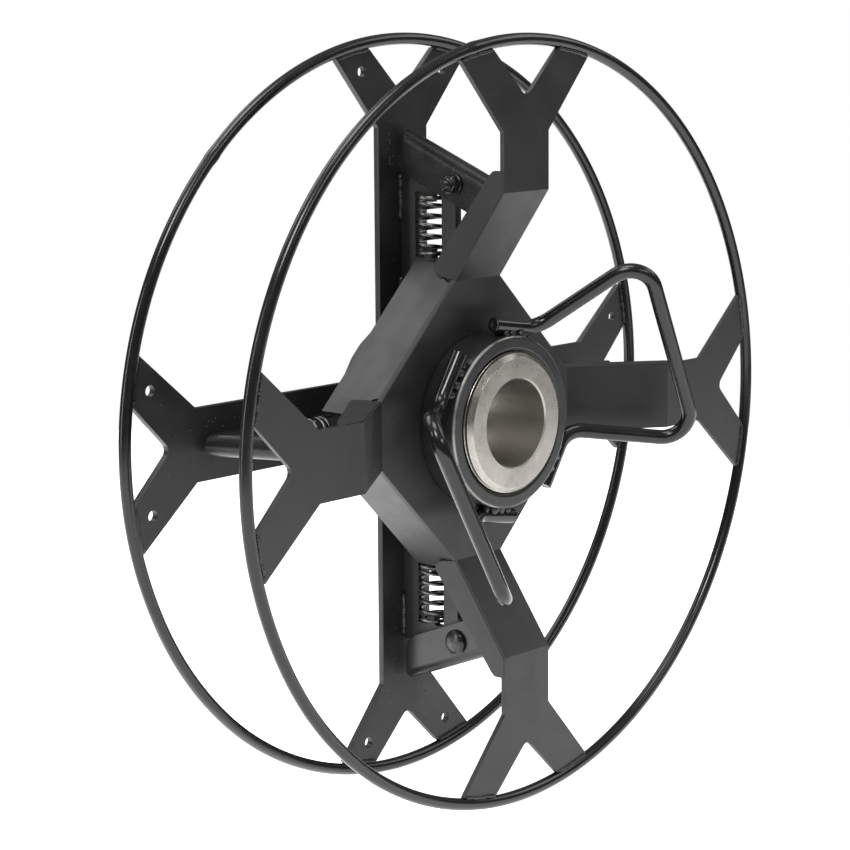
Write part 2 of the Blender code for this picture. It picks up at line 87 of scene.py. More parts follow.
# ---- node materials -----------------------------------------------------------------------
class Look:
    """A Principled material and short ways to build the nodes that feed it."""

    def __init__(self, name, metallic=0.0, specular=0.5, tint=(0.0, 0.0, 0.0)):
        self.mat = bpy.data.materials.new(name)
        self.mat.use_nodes = True
        self.tree = self.mat.node_tree
        self.shader = self.tree.nodes["Principled BSDF"]
        self.shader.inputs["Specular IOR Level"].default_value = specular
        self.shader.inputs["Metallic"].default_value = metallic
        self.shader.inputs["Base Color"].default_value = (*tint, 1.0)
        self.coord = self.tree.nodes.new("ShaderNodeTexCoord").outputs["Object"]
        self.heights = []

    def link(self, a, b):
        self.tree.links.new(a, b)

    def noise(self, scale, detail=3.0, rough=0.55):
        node = self.tree.nodes.new("ShaderNodeTexNoise")
        node.inputs["Scale"].default_value = scale
        node.inputs["Detail"].default_value = detail
        node.inputs["Roughness"].default_value = rough
        self.link(self.coord, node.inputs["Vector"])
        return node.outputs["Fac"]

    def cells(self, scale):
        node = self.tree.nodes.new("ShaderNodeTexVoronoi")
        node.inputs["Scale"].default_value = scale
        self.link(self.coord, node.inputs["Vector"])
        return node.outputs["Distance"]

    def span(self, value, low, high, to_low=0.0, to_high=1.0):
        node = self.tree.nodes.new("ShaderNodeMapRange")
        self.link(value, node.inputs["Value"])
        for name, number in zip(("From Min", "From Max", "To Min", "To Max"), (low, high, to_low, to_high)):
            node.inputs[name].default_value = number
        return node.outputs["Result"]

    def maths(self, kind, a, b=None):
        node = self.tree.nodes.new("ShaderNodeMath")
        node.operation = kind
        for i, v in enumerate((a, b)):
            if v is None:
                continue
            if isinstance(v, (int, float)):
                node.inputs[i].default_value = v
            else:
                self.link(v, node.inputs[i])
        return node.outputs["Value"]

    def mix(self, factor, a, b):
        node = self.tree.nodes.new("ShaderNodeMix")
        node.data_type = "RGBA"
        self.link(factor, node.inputs["Factor"])
        for socket, v in ((node.inputs[6], a), (node.inputs[7], b)):
            if isinstance(v, tuple):
                socket.default_value = (*v, 1.0)
            else:
                self.link(v, socket)
        return node.outputs[2]

    def axial(self):
        """Distance from the reel axis, and the place along it."""
        parts = self.tree.nodes.new("ShaderNodeSeparateXYZ")
        self.link(self.coord, parts.inputs["Vector"])
        x, y, z = (parts.outputs[n] for n in "XYZ")
        r = self.maths("SQRT", self.maths("ADD", self.maths("MULTIPLY", x, x), self.maths("MULTIPLY", z, z)))
        return r, y

    def bump(self, value, strength, distance):
        node = self.tree.nodes.new("ShaderNodeBump")
        node.inputs["Strength"].default_value = strength
        node.inputs["Distance"].default_value = distance
        self.link(value, node.inputs["Height"])
        if self.heights:
            self.link(self.heights[-1], node.inputs["Normal"])
        self.heights.append(node.outputs["Normal"])
        self.link(node.outputs["Normal"], self.shader.inputs["Normal"])

    def colour(self, value):
        self.link(value, self.shader.inputs["Base Color"])

    def rough(self, value):
        self.link(value, self.shader.inputs["Roughness"])

    def metal(self, value):
        self.link(value, self.shader.inputs["Metallic"])


def black_paint(name, low, high, rough_low, rough_high, peel, dust, nicks=0.60):
    """Sprayed black enamel: orange peel, a slow cloud of gloss, brushed-off dust and fine nicks."""
    look = Look(name, specular=0.5)
    cloud = look.noise(14.0, 4.0, 0.6)
    grime = look.noise(55.0, 6.0, 0.65)
    base = look.mix(look.span(cloud, 0.35, 0.68), low, high)
    dots = look.span(look.cells(330.0), 0.10, 0.05)
    where = look.span(look.noise(90.0, 2.0), nicks, nicks + 0.06)
    specks = look.maths("MULTIPLY", look.maths("MULTIPLY", dots, where), dust)
    look.colour(look.mix(specks, base, (0.24, 0.235, 0.22)))
    gloss = look.span(cloud, 0.3, 0.7, rough_low, rough_high)
    look.rough(look.maths("ADD", gloss, look.span(grime, 0.42, 0.75, 0.0, 0.10)))
    look.bump(look.noise(520.0, 2.0, 0.5), peel, 0.00012)
    look.bump(look.noise(48.0, 2.0, 0.5), 0.25 * peel, 0.0012)
    look.bump(look.span(specks, 0.0, 1.0), 0.25, 0.0002)
    return look.mat


def turned_steel():
    """Bare hub: turning rings on the faces, along the bore a finer lay, light stains and rust specks."""
    look = Look("turned_steel", metallic=1.0)
    r, y = look.axial()
    stain = look.noise(42.0, 5.0, 0.62)
    fine = look.noise(260.0, 4.0, 0.6)
    base = look.mix(look.span(stain, 0.38, 0.66), (0.44, 0.421, 0.386), (0.33, 0.314, 0.282))
    bore = look.span(r, BORE_R + 0.0004, BORE_R + 0.0016, 1.0, 0.0)
    base = look.mix(look.maths("MULTIPLY", bore, 0.8), base, (0.40, 0.385, 0.35))
    dots = look.span(look.cells(210.0), 0.16, 0.07)
    pits = look.maths("MULTIPLY", dots, look.span(look.noise(60.0, 3.0), 0.56, 0.64))
    rust = look.maths("MULTIPLY", pits, look.span(bore, 0.0, 1.0, 0.25, 0.9))
    look.colour(look.mix(rust, base, (0.16, 0.085, 0.045)))
    look.metal(look.maths("SUBTRACT", 1.0, look.maths("MULTIPLY", rust, 0.8)))
    look.rough(look.maths("ADD", look.span(fine, 0.3, 0.7, 0.24, 0.36), look.maths("MULTIPLY", bore, 0.14)))
    along = look.maths("ADD", r, look.maths("MULTIPLY", y, 0.9))
    rings = look.maths("SINE", look.maths("MULTIPLY", along, 16500.0))
    look.bump(rings, 0.10, 0.00004)
    look.bump(look.noise(30.0, 3.0), 0.05, 0.0005)
    look.bump(fine, 0.08, 0.00008)
    return look.mat


def nut_paint():
    """Black nut, rubbed to bare steel in places in the thread; on its rounded front edge a thin band of bare
    steel that is partly wear and partly a painted highlight.
    """
    look = Look("nut_paint", specular=0.5)
    r, y = look.axial()
    cloud = look.noise(30.0, 4.0, 0.6)
    outer = look.span(r, NUT_R - 0.0014, NUT_R - 0.0006)
    edge = look.maths("MULTIPLY", outer, look.span(y, NUT_FRONT + 0.0015, NUT_FRONT + 0.0006))
    # bare steel on the rounded front rim: partly wear, partly a painted highlight standing for the bright
    # line along the edge
    rim_wear_and_highlight = look.maths("MULTIPLY", edge, look.span(look.noise(45.0, 4.0, 0.6), 0.36, 0.52))
    bore = look.span(r, THREAD_R + 0.0012, THREAD_R + 0.0004)
    bare = look.maths("MAXIMUM", look.maths("MULTIPLY", rim_wear_and_highlight, 0.6), look.maths("MULTIPLY", bore, 0.35))
    paint = look.mix(look.span(cloud, 0.35, 0.68), (0.012, 0.012, 0.0125), (0.021, 0.021, 0.021))
    # the rim's bare steel here is partly a painted highlight; the bare steel in the thread is wear
    look.colour(look.mix(bare, paint, (0.55, 0.53, 0.49)))
    look.metal(bare)
    look.rough(look.span(cloud, 0.3, 0.7, 0.26, 0.38))
    rings = look.maths("SINE", look.maths("MULTIPLY", look.maths("ADD", r, y), 9000.0))
    look.bump(rings, 0.07, 0.00005)
    look.bump(look.noise(520.0, 2.0), 0.10, 0.0001)
    return look.mat


def weld_paint():
    look = Look("weld_paint", specular=0.5)
    cloud = look.noise(160.0, 5.0, 0.65)
    look.colour(look.mix(look.span(cloud, 0.55, 0.72), (0.012, 0.012, 0.0125), (0.045, 0.044, 0.042)))
    look.rough(look.span(cloud, 0.3, 0.7, 0.20, 0.42))
    look.bump(cloud, 0.45, 0.0005)
    look.bump(look.noise(900.0, 3.0), 0.25, 0.00012)
    return look.mat


def oiled_spring():
    look = Look("oiled_spring", metallic=1.0)
    cloud = look.noise(220.0, 4.0, 0.6)
    look.colour(look.mix(look.span(cloud, 0.4, 0.66), (0.075, 0.075, 0.078), (0.20, 0.19, 0.175)))
    look.rough(look.span(cloud, 0.3, 0.7, 0.22, 0.40))
    look.bump(look.noise(1400.0, 2.0), 0.12, 0.00004)
    return look.mat


def fastener():
    look = Look("painted_fastener", specular=0.5)
    cloud = look.noise(300.0, 4.0, 0.6)
    nick = look.span(look.noise(420.0, 5.0, 0.7), 0.60, 0.68)
    look.colour(look.mix(nick, (0.012, 0.012, 0.013), (0.13, 0.125, 0.12)))
    look.metal(look.maths("MULTIPLY", nick, 0.7))
    look.rough(look.span(cloud, 0.3, 0.7, 0.18, 0.34))
    look.bump(cloud, 0.18, 0.00015)
    return look.mat


SATIN = black_paint("satin_black", (0.0105, 0.0108, 0.0112), (0.0165, 0.0168, 0.0172), 0.36, 0.46, 0.11, 0.7)
COVER = black_paint("satin_cover", (0.0125, 0.0128, 0.0135), (0.0185, 0.0188, 0.0195), 0.38, 0.47, 0.08, 0.35)
GLOSS = black_paint("gloss_black", (0.0055, 0.0055, 0.0058), (0.0095, 0.0095, 0.0100), 0.13, 0.22, 0.08, 0.5)
CROSS = black_paint("satin_cross", (0.0095, 0.0096, 0.0098), (0.0160, 0.0160, 0.0160), 0.34, 0.50, 0.20, 1.0,
                    nicks=0.53)
SHOE = black_paint("gloss_shoe", (0.0075, 0.0076, 0.0080), (0.0120, 0.0122, 0.0126), 0.20, 0.28, 0.09, 0.3)
STEEL = turned_steel()
NUT = nut_paint()
WELD = weld_paint()
SPRING = oiled_spring()
FASTENER = fastener()


# ---- mesh helpers -------------------------------------------------------------------------
def quarter(k):
    return Matrix.Rotation(math.pi / 2.0 * k, 3, "Y")


def made(name, verts, faces, mat, body, smooth=40.0, replaces=()):
    mesh = bpy.data.meshes.new(name)
    mesh.from_pydata([tuple(v) for v in verts], [], faces)
    bm = bmesh.new()
    bm.from_mesh(mesh)
    bmesh.ops.recalc_face_normals(bm, faces=bm.faces)
    bm.to_mesh(mesh)
    bm.free()
    mesh.materials.append(mat)
    mesh.shade_smooth()
    mesh.set_sharp_from_angle(angle=math.radians(smooth))
    obj = bpy.data.objects.new(name, mesh)
    bpy.context.scene.collection.objects.link(obj)
    if replaces:
        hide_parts(*replaces)
    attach(obj, body)
    return obj


def tube(path, radius, sides, closed=False, up=Vector((0.0, 1.0, 0.0)), cut=0.0):
    """Verts and faces of a bar along path; radius is a number or a function of (index, angle)."""
    count = len(path)
    tangents = []
    for i in range(count):
        a = path[(i - 1) % count] if closed or i else path[0]
        b = path[(i + 1) % count] if closed or i < count - 1 else path[-1]
        tangents.append((b - a).normalized())
    side = up.cross(tangents[0])
    if side.length < 1e-6:
        side = Vector((1.0, 0.0, 0.0)).cross(tangents[0])
    side.normalize()
    rings = []
    for i, point in enumerate(path):
        t = tangents[i]
        side = (side - t * side.dot(t)).normalized()
        other = t.cross(side)
        rings.append((point, side.copy(), other))
    if closed:
        level = [(up - t * up.dot(t)).normalized() for t in tangents]
        rings = [(point, u, t.cross(u)) for point, u, t in zip(path, level, tangents)]
    verts, faces = [], []
    for i, (point, u, v) in enumerate(rings):
        for j in range(sides):
            a = 2.0 * math.pi * j / sides
            r = radius(i, a) if callable(radius) else radius
            verts.append(point + (u * math.cos(a) + v * math.sin(a)) * r)
    last = count if closed else count - 1
    for i in range(last):
        n = (i + 1) % count
        for j in range(sides):
            k = (j + 1) % sides
            faces.append((i * sides + j, i * sides + k, n * sides + k, n * sides + j))
    if not closed:
        for end, outward in ((0, -1.0), (count - 1, 1.0)):
            point, u, v = rings[end]
            t = tangents[end] * outward
            rows = [list(range(end * sides, end * sides + sides))]
            for share, out in ((0.90, cut), (0.55, cut), (0.22, cut * 0.2)) if cut else ():
                r0 = radius(end, 0.0) if callable(radius) else radius
                start = len(verts)
                for j in range(sides):
                    a = 2.0 * math.pi * j / sides
                    verts.append(point + (u * math.cos(a) + v * math.sin(a)) * r0 * share + t * out)
                rows.append(list(range(start, start + sides)))
            for low, high in zip(rows[:-1], rows[1:]):
                for j in range(sides):
                    k = (j + 1) % sides
                    faces.append((low[j], low[k], high[k], high[j]))
            faces.append(tuple(rows[-1]))
    return verts, faces


def lathe(profile, steps, wobble=None):
    """A closed (r, y) outline turned about the reel axis; wobble(r, y, angle) returns r."""
    verts, faces = [], []
    count = len(profile)
    for i in range(steps):
        a = 2.0 * math.pi * i / steps
        for r, y in profile:
            rr = wobble(r, y, a) if wobble else r
            verts.append(Vector((rr * math.sin(a), y, rr * math.cos(a))))
    for i in range(steps):
        n = (i + 1) % steps
        for j in range(count):
            k = (j + 1) % count
            faces.append((i * count + j, i * count + k, n * count + k, n * count + j))
    return verts, faces


def skin(node, mat, body, width, angle=25.0, segments=2):
    """A piece with the CAD node's shape and softly broken edges, in its place."""
    bm = bmesh.new()
    bm.from_mesh(nodes[node].data)
    bmesh.ops.remove_doubles(bm, verts=bm.verts, dist=2e-6)
    bmesh.ops.dissolve_limit(bm, angle_limit=math.radians(0.6), verts=bm.verts, edges=bm.edges)
    mesh = bpy.data.meshes.new(node + "_skin")
    bm.to_mesh(mesh)
    bm.free()
    mesh.materials.clear()
    mesh.materials.append(mat)
    mesh.shade_smooth()
    mesh.set_sharp_from_angle(angle=math.radians(angle + 15.0))
    obj = bpy.data.objects.new(node + "_skin", mesh)
    bpy.context.scene.collection.objects.link(obj)
    bevel = obj.modifiers.new("edges", "BEVEL")
    bevel.width = width
    bevel.segments = segments
    bevel.limit_method = "ANGLE"
    bevel.angle_limit = math.radians(angle)
    bevel.use_clamp_overlap = True
    bevel.harden_normals = True
    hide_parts(node)
    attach(obj, body)
    return obj


def rounded(points, radius, step=0.0015):
    """A smooth path through straight runs joined by arcs."""
    path = [points[0]]
    for before, corner, after in zip(points[:-2], points[1:-1], points[2:]):
        a = (before - corner).normalized()
        b = (after - corner).normalized()
        half = a.angle(b) / 2.0
        reach = min(radius / math.tan(half), 0.48 * (before - corner).length, 0.48 * (after - corner).length)
        r = reach * math.tan(half)
        centre = corner + (a + b).normalized() * (r / math.sin(half))
        start, end = corner + a * reach, corner + b * reach
        u, w = start - centre, end - centre
        sweep = u.angle(w)
        steps = max(6, int(r * sweep / step))
        axis = u.cross(w).normalized()
        for i in range(steps + 1):
            path.append(centre + Matrix.Rotation(sweep * i / steps, 3, axis) @ u)
    path.append(points[-1])
    dense = [path[0]]
    for a, b in zip(path[:-1], path[1:]):
        n = max(1, int((b - a).length / (step * 2.0)))
        for i in range(1, n + 1):
            dense.append(a.lerp(b, i / n))
    return dense


def bead(name, path, radius, body, seed, pitch=0.0022, sides=10, up=Vector((0.0, 1.0, 0.0)), closed=False):
    """A weld run: a tube with the ripples of the pool frozen into it, tapering at its ends."""
    count = len(path)
    along = [0.0]
    for a, b in zip(path[:-1], path[1:]):
        along.append(along[-1] + (b - a).length)
    total = along[-1]

    def size(i, a):
        s = along[i]
        wave = 1.0 + 0.13 * abs(math.sin(math.pi * s / pitch)) - 0.06
        wild = 0.22 * noise.noise(Vector((s * 240.0, seed * 3.1, math.cos(a) * 0.7)))
        ends = 1.0 if closed else min(1.0, 0.35 + min(s, total - s) / (1.2 * radius))
        return radius * (wave + wild) * ends

    verts, faces = tube(path, size, sides, closed=closed, up=up)
    return made(name, verts, faces, WELD, body, 60.0)


def line(a, b, step=0.0006):
    a, b = Vector(a), Vector(b)
    n = max(4, int((b - a).length / step))
    return [a.lerp(b, i / n) for i in range(n + 1)]


def joined(parts):
    """Several (verts, faces) as one."""
    verts, faces = [], []
    for v, f in parts:
        base = len(verts)
        verts += v
        faces += [tuple(base + i for i in face) for face in f]
    return verts, faces


def blob(centre, radii, turn, seed, rings=9, sides=14):
    """A lump of weld metal."""
    verts, faces = [], []
    for i in range(1, rings):
        p = math.pi * i / rings
        for j in range(sides):
            a = 2.0 * math.pi * j / sides
            d = Vector((math.sin(p) * math.cos(a), math.sin(p) * math.sin(a), math.cos(p)))
            swell = 1.0 + 0.30 * noise.noise(d * 1.7 + Vector((seed * 7.3, 0.0, 0.0)))
            reach = Vector((d.x * radii[0], d.y * radii[1], d.z * radii[2]))
            verts.append(Vector(centre) + turn @ reach * swell)
    top, low = len(verts), len(verts) + 1
    verts.append(Vector(centre) + turn @ Vector((0.0, 0.0, radii[2])))
    verts.append(Vector(centre) - turn @ Vector((0.0, 0.0, radii[2])))
    for i in range(rings - 2):
        for j in range(sides):
            k = (j + 1) % sides
            faces.append((i * sides + j, i * sides + k, (i + 1) * sides + k, (i + 1) * sides + j))
    for j in range(sides):
        k = (j + 1) % sides
        faces.append((top, k, j))
        faces.append((low, (rings - 2) * sides + j, (rings - 2) * sides + k))
    return verts, faces


# ---- hoops --------------------------------------------------------------------------------
def hoop(name, node, y, body, seam, seed):
    """Rolled bar with its butt weld dressed flush but still showing as a slight swelling."""
    count = 420
    path = []
    for i in range(count):
        a = 2.0 * math.pi * i / count
        d = Vector((math.sin(a), 0.0, math.cos(a)))
        sway = 0.00018 * noise.noise(d * 3.0 + Vector((seed, 0.0, 0.0)))
        path.append(d * (HOOP_R + sway) + Vector((0.0, y + 0.7 * sway, 0.0)))
    centre = math.radians(seam) % (2.0 * math.pi)

    def size(i, a):
        off = (2.0 * math.pi * i / count - centre + math.pi) % (2.0 * math.pi) - math.pi
        s = off * HOOP_R
        lump = math.exp(-(s / 0.0042) ** 2)
        rag = noise.noise(Vector((s * 420.0, math.cos(a) * 1.6, math.sin(a) * 1.6 + seed)))
        neck = math.exp(-((abs(s) - 0.011) / 0.005) ** 2)
        return BAR_R * (1.0 + lump * (0.085 + 0.10 * rag) + 0.035 * neck * rag) - 0.00006

    verts, faces = tube(path, size, 22, closed=True)
    return made(name, verts, faces, GLOSS, body, 60.0, (node,))


hoop("rear_hoop_bar", "rear_hoop", HOOP_Y, "reel", -44.0, 4.0)
hoop("front_hoop_bar", "front_hoop", -HOOP_Y, "cover_body", -11.6, 9.0)

# ---- plates with broken edges -------------------------------------------------------------
skin("rear_cross", CROSS, "reel", 0.0005)
skin("cover_pressing", COVER, "cover_body", 0.0005, 20.0)
for k in range(1, 5):
    skin("carrier_%d" % k, SATIN, "reel", 0.0004)
    skin("shoe_%d" % k, SHOE, "shoe_%d_body" % k, 0.0006, 40.0)

# ---- hub ----------------------------------------------------------------------------------
thread_y0 = HUB_FRONT + 0.0062
thread_y1 = HUB_SEAT - 0.0030


def thread_depth(y, a, depth):
    """A right-hand thread, rounded at crest and root, seen from the front."""
    phase = (y / PITCH + a / (2.0 * math.pi)) % 1.0
    tooth = abs(2.0 * phase - 1.0)
    tooth = min(1.0, max(0.0, (tooth - 0.12) / 0.76))
    fade = min(1.0, max(0.0, (y - thread_y0) / 0.003), max(0.0, (thread_y1 - y) / 0.003))
    return depth * tooth * max(0.0, min(1.0, fade))


hub_outline = [
    (BORE_R, HUB_FRONT + 0.0009), (BORE_R + 0.0008, HUB_FRONT), (BORE_R + 0.0011, HUB_FRONT),
    (HUB_R - 0.0038, HUB_FRONT), (HUB_R - 0.0035, HUB_FRONT), (HUB_R - 0.0032, HUB_FRONT + 0.0002),
    (HUB_R - 0.0012, HUB_FRONT + 0.0022), (HUB_R - 0.0009, HUB_FRONT + 0.0025),
    (HUB_R - 0.0007, HUB_FRONT + 0.0026), (HUB_R - 0.0007, HUB_FRONT + 0.0031),
    (HUB_R - 0.0016, HUB_FRONT + 0.0033), (HUB_R - 0.0016, HUB_FRONT + 0.0038),
    (HUB_R - 0.0002, HUB_FRONT + 0.0040), (HUB_R, HUB_FRONT + 0.0043), (HUB_R, HUB_FRONT + 0.0060),
]
steps_y = int((thread_y1 - thread_y0) / 0.0004)
hub_outline += [(HUB_R - 0.0001, thread_y0 + (thread_y1 - thread_y0) * i / steps_y)
                for i in range(steps_y + 1)]
hub_outline += [
    (HUB_R - 0.0012, HUB_SEAT - 0.0026), (HUB_R - 0.0012, HUB_SEAT), (HUB_BODY_R - 0.0006, HUB_SEAT),
    (HUB_BODY_R, HUB_SEAT + 0.0006), (HUB_BODY_R, CROSS_Y0 - 0.0003), (HUB_R, CROSS_Y0 - 0.0003),
    (HUB_R, HUB_REAR - 0.0010), (HUB_R - 0.0010, HUB_REAR), (BORE_R + 0.0011, HUB_REAR),
    (BORE_R, HUB_REAR - 0.0011), (BORE_R, 0.0150), (BORE_R - 0.00004, 0.0149), (BORE_R - 0.00004, -0.012),
]


def hub_wobble(r, y, a):
    if thread_y0 <= y <= thread_y1 and r > 0.035:
        return r - thread_depth(y, a, 0.0011)
    return r


verts, faces = lathe(hub_outline, 180, hub_wobble)
made("hub_turned", verts, faces, STEEL, "reel", 28.0, ("hub_tube",))

lo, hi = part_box("hub_collar")
collar_y0, collar_y1, collar_r = lo.y, hi.y, hi.x
collar = [(HUB_R + 0.0004, collar_y0), (collar_r - 0.0006, collar_y0), (collar_r, collar_y0 + 0.0006)]
for i in range(7):
    a = math.radians(15.0 * i)
    collar.append((collar_r - 0.0056 + 0.0056 * math.cos(a), collar_y1 - 0.0056 + 0.0056 * math.sin(a)))
collar += [(HUB_R + 0.0004, collar_y1)]


def collar_ripple(r, y, a):
    if r < HUB_R + 0.001:
        return r
    return r - 0.0002 - 0.0007 * abs(math.sin(a * 32.0 + 1.3 * noise.noise(Vector((a * 3.0, 0.0, 0.0)))))


verts, faces = lathe(collar, 288, collar_ripple)
made("hub_weld_collar", verts, faces, WELD, "reel", 60.0, ("hub_collar",))

# ---- spinner nut --------------------------------------------------------------------------
EDGE = 0.0017
nut_outline = [(THREAD_R + 0.0010, NUT_REAR), (NUT_R - 0.0012, NUT_REAR), (NUT_R - 0.0003, NUT_REAR - 0.0003),
               (NUT_R, NUT_REAR - 0.0012), (NUT_R, NUT_FRONT + EDGE)]
for i in range(1, 9):
    a = math.radians(11.25 * i)
    nut_outline.append((NUT_R - EDGE + EDGE * math.cos(a), NUT_FRONT + EDGE - EDGE * math.sin(a)))
nut_outline += [(NUT_R - EDGE - 0.0004, NUT_FRONT), (THREAD_R + 0.0023, NUT_FRONT),
                (THREAD_R + 0.0020, NUT_FRONT), (THREAD_R + 0.0014, NUT_FRONT + 0.0002),
                (THREAD_R + 0.0002, NUT_FRONT + 0.0016)]
bore_front = NUT_FRONT + 0.0018
bore_long = NUT_REAR - 0.001 - bore_front
inner = int(bore_long / 0.0005)
nut_outline += [(THREAD_R + 0.0001, bore_front + bore_long * i / inner) for i in range(inner + 1)]


def nut_wobble(r, y, a):
    if r < THREAD_R + 0.00015:
        phase = (y / PITCH + a / (2.0 * math.pi) + 0.5) % 1.0
        return r + 0.0009 * min(1.0, max(0.0, (abs(2.0 * phase - 1.0) - 0.12) / 0.76))
    return r


verts, faces = lathe(nut_outline, 180, nut_wobble)
made("spinner_nut_turned", verts, faces, NUT, "spinner", 30.0, ("spinner_nut",))

# ---- handles ------------------------------------------------------------------------------
RING = NUT_R + HANDLE_R + 0.0003
WELD_Y = -0.0300
FIRST, SECOND = math.radians(80.7), math.radians(-33.0)


def on_ring(angle, along, ring=RING, y=WELD_Y):
    return Vector((ring * math.cos(angle) + along * math.sin(angle), y,
                   ring * math.sin(angle) - along * math.cos(angle)))


for number in (1, 2):
    spin = Matrix.Rotation(math.pi * (number - 1), 3, "Y")
    points = [on_ring(FIRST, -0.0165), on_ring(FIRST, 0.0200),
              Vector((0.0585, -0.0870, 0.0945)), Vector((0.1180, -0.0810, -0.0215)),
              on_ring(SECOND, -0.0205), on_ring(SECOND, 0.0160)]
    path = [spin @ p for p in rounded(points, 0.0150)]

    def bar(i, a, path=path, number=number):
        return HANDLE_R * (0.992 + 0.012 * noise.noise(path[i] * 22.0 + Vector((number * 5.0, 0.0, 0.0))))

    verts, faces = tube(path, bar, 24, cut=0.00025)
    made("handle_%d_bar" % number, verts, faces, GLOSS, "spinner", 35.0,
         ("handle_%d" % number,))
    lumps = []
    for n, (angle, along, size) in enumerate((
            (FIRST, -0.0085, 0.0026), (FIRST, -0.0030, 0.0034),
            (FIRST, 0.0040, 0.0036), (FIRST, 0.0100, 0.0026),
            (SECOND, -0.0075, 0.0030), (SECOND, -0.0015, 0.0034),
            (SECOND, 0.0060, 0.0032), (SECOND, 0.0105, 0.0022))):
        lie = spin @ Matrix.Rotation(-angle, 3, "Y")
        at = spin @ on_ring(angle, along, NUT_R + 0.0004, WELD_Y - 0.0030 + 0.0006 * math.sin(n * 2.1))
        lumps.append(blob(at, (size, size * 0.72, size * 0.8), lie, n + 10 * number))
        at = spin @ on_ring(angle, along, NUT_R + 0.0006, WELD_Y + 0.0032)
        lumps.append(blob(at, (size, size * 0.7, size * 0.75), lie, n + 30 + 10 * number))
    verts, faces = joined(lumps)
    made("handle_%d_welds" % number, verts, faces, WELD, "spinner", 70.0)

# ---- springs ------------------------------------------------------------------------------
low = WINDOW_R[0] + SPRING_WIRE + 0.0003
high = WINDOW_R[1] - SPRING_WIRE - 0.0008
for k in range(4):
    count = int(SPRING_TURNS * 40)
    path = []
    for i in range(count + 1):
        t = i / count
        dead = 1.0 / SPRING_TURNS
        rise = 2.0 * SPRING_WIRE + 0.0002
        if t < dead:
            z = low + rise * t / dead
        elif t > 1.0 - dead:
            z = high - rise * (1.0 - t) / dead
        else:
            z = low + rise + (high - low - 2.0 * rise) * (t - dead) / (1.0 - 2.0 * dead)
        a = 2.0 * math.pi * SPRING_TURNS * t
        lead = SPRING_R - SPRING_WIRE
        path.append(quarter(k) @ Vector((lead * math.sin(a), SPRING_Y + lead * math.cos(a), z)))
    out = quarter(k) @ Vector((0.0, 0.0, 1.0))
    verts, faces = tube(path, SPRING_WIRE, 12, up=out, cut=0.0001)
    obj = made("spring_%d_coil" % (k + 1), verts, faces, SPRING, "reel", 60.0,
               ("shoe_spring_%d" % (k + 1),))
    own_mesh(obj)

# ---- shoe bolts, washers and lock nuts ----------------------------------------------------
def about_bolt(profile, steps, hexed=()):
    """Turn an (r, x) outline about the bolt; rows named in hexed are six-sided."""
    verts, faces = [], []
    count = len(profile)
    for i in range(steps):
        a = 2.0 * math.pi * i / steps
        wedge = (a % (math.pi / 3.0)) - math.pi / 6.0
        for j, (r, x) in enumerate(profile):
            reach = min(r / math.cos(wedge), r * 1.13) if j in hexed else r
            verts.append(Vector((x, PIVOT_Y + reach * math.cos(a), PIVOT_R + reach * math.sin(a))))
    for i in range(steps):
        n = (i + 1) % steps
        for j in range(count):
            k = (j + 1) % count
            faces.append((i * count + j, i * count + k, n * count + k, n * count + j))
    return verts, faces


seat = SHOE_HALF + 0.0003
bolt_end = -(SHOE_HALF + 0.0014 + 0.0062 + 0.0026)
bolt_outline = [(0.00002, bolt_end), (BOLT_R - 0.0009, bolt_end), (BOLT_R - 0.0005, bolt_end + 0.0003)]
x = bolt_end + 0.0006
while x < -0.0065:
    bolt_outline += [(BOLT_R - 0.0004, x), (BOLT_R - 0.00003, x + 0.0004)]
    x += 0.0008
bolt_outline += [(BOLT_R - 0.00003, seat), (HEAD_R - 0.0004, seat), (HEAD_R, seat + 0.0003),
                 (HEAD_R, seat + 0.0007)]
for i in range(1, 8):
    a = math.radians(90.0 * i / 7.5)
    bolt_outline.append((HEAD_R * math.cos(a), seat + 0.0007 + 0.0026 * math.sin(a)))
bolt_outline += [(HEAD_R * 0.10, seat + 0.0033), (0.00002, seat + 0.0033)]
washer_x = -seat
washer_outline = [(0.0033, washer_x), (0.0062, washer_x), (0.0065, washer_x - 0.0003),
                  (0.0065, washer_x - 0.0010), (0.0061, washer_x - 0.0014), (0.0036, washer_x - 0.0014),
                  (0.0033, washer_x - 0.0011)]
nut_x = washer_x - 0.0017
half_flat = 0.0050
lock_outline = [(0.0033, nut_x), (half_flat * 0.97, nut_x), (half_flat, nut_x - 0.0005),
                (half_flat, nut_x - 0.0036),
                (half_flat * 0.985, nut_x - 0.0041), (0.0044, nut_x - 0.0044), (0.0043, nut_x - 0.0058),
                (0.0040, nut_x - 0.0062), (0.0034, nut_x - 0.0062), (0.0033, nut_x - 0.0058)]
for k in range(4):
    turn = quarter(k)
    for name, outline, steps, hexed, node in (
            ("bolt", bolt_outline, 36, (), "shoe_bolt_%d"),
            ("washer_ring", washer_outline, 36, (), "washer_%d"),
            ("lock_nut_body", lock_outline, 72, (2, 3), "lock_nut_%d")):
        verts, faces = about_bolt(outline, steps, hexed)
        made("%s_%d" % (name, k + 1), [turn @ v for v in verts], faces, FASTENER, "reel",
             32.0, (node % (k + 1),))

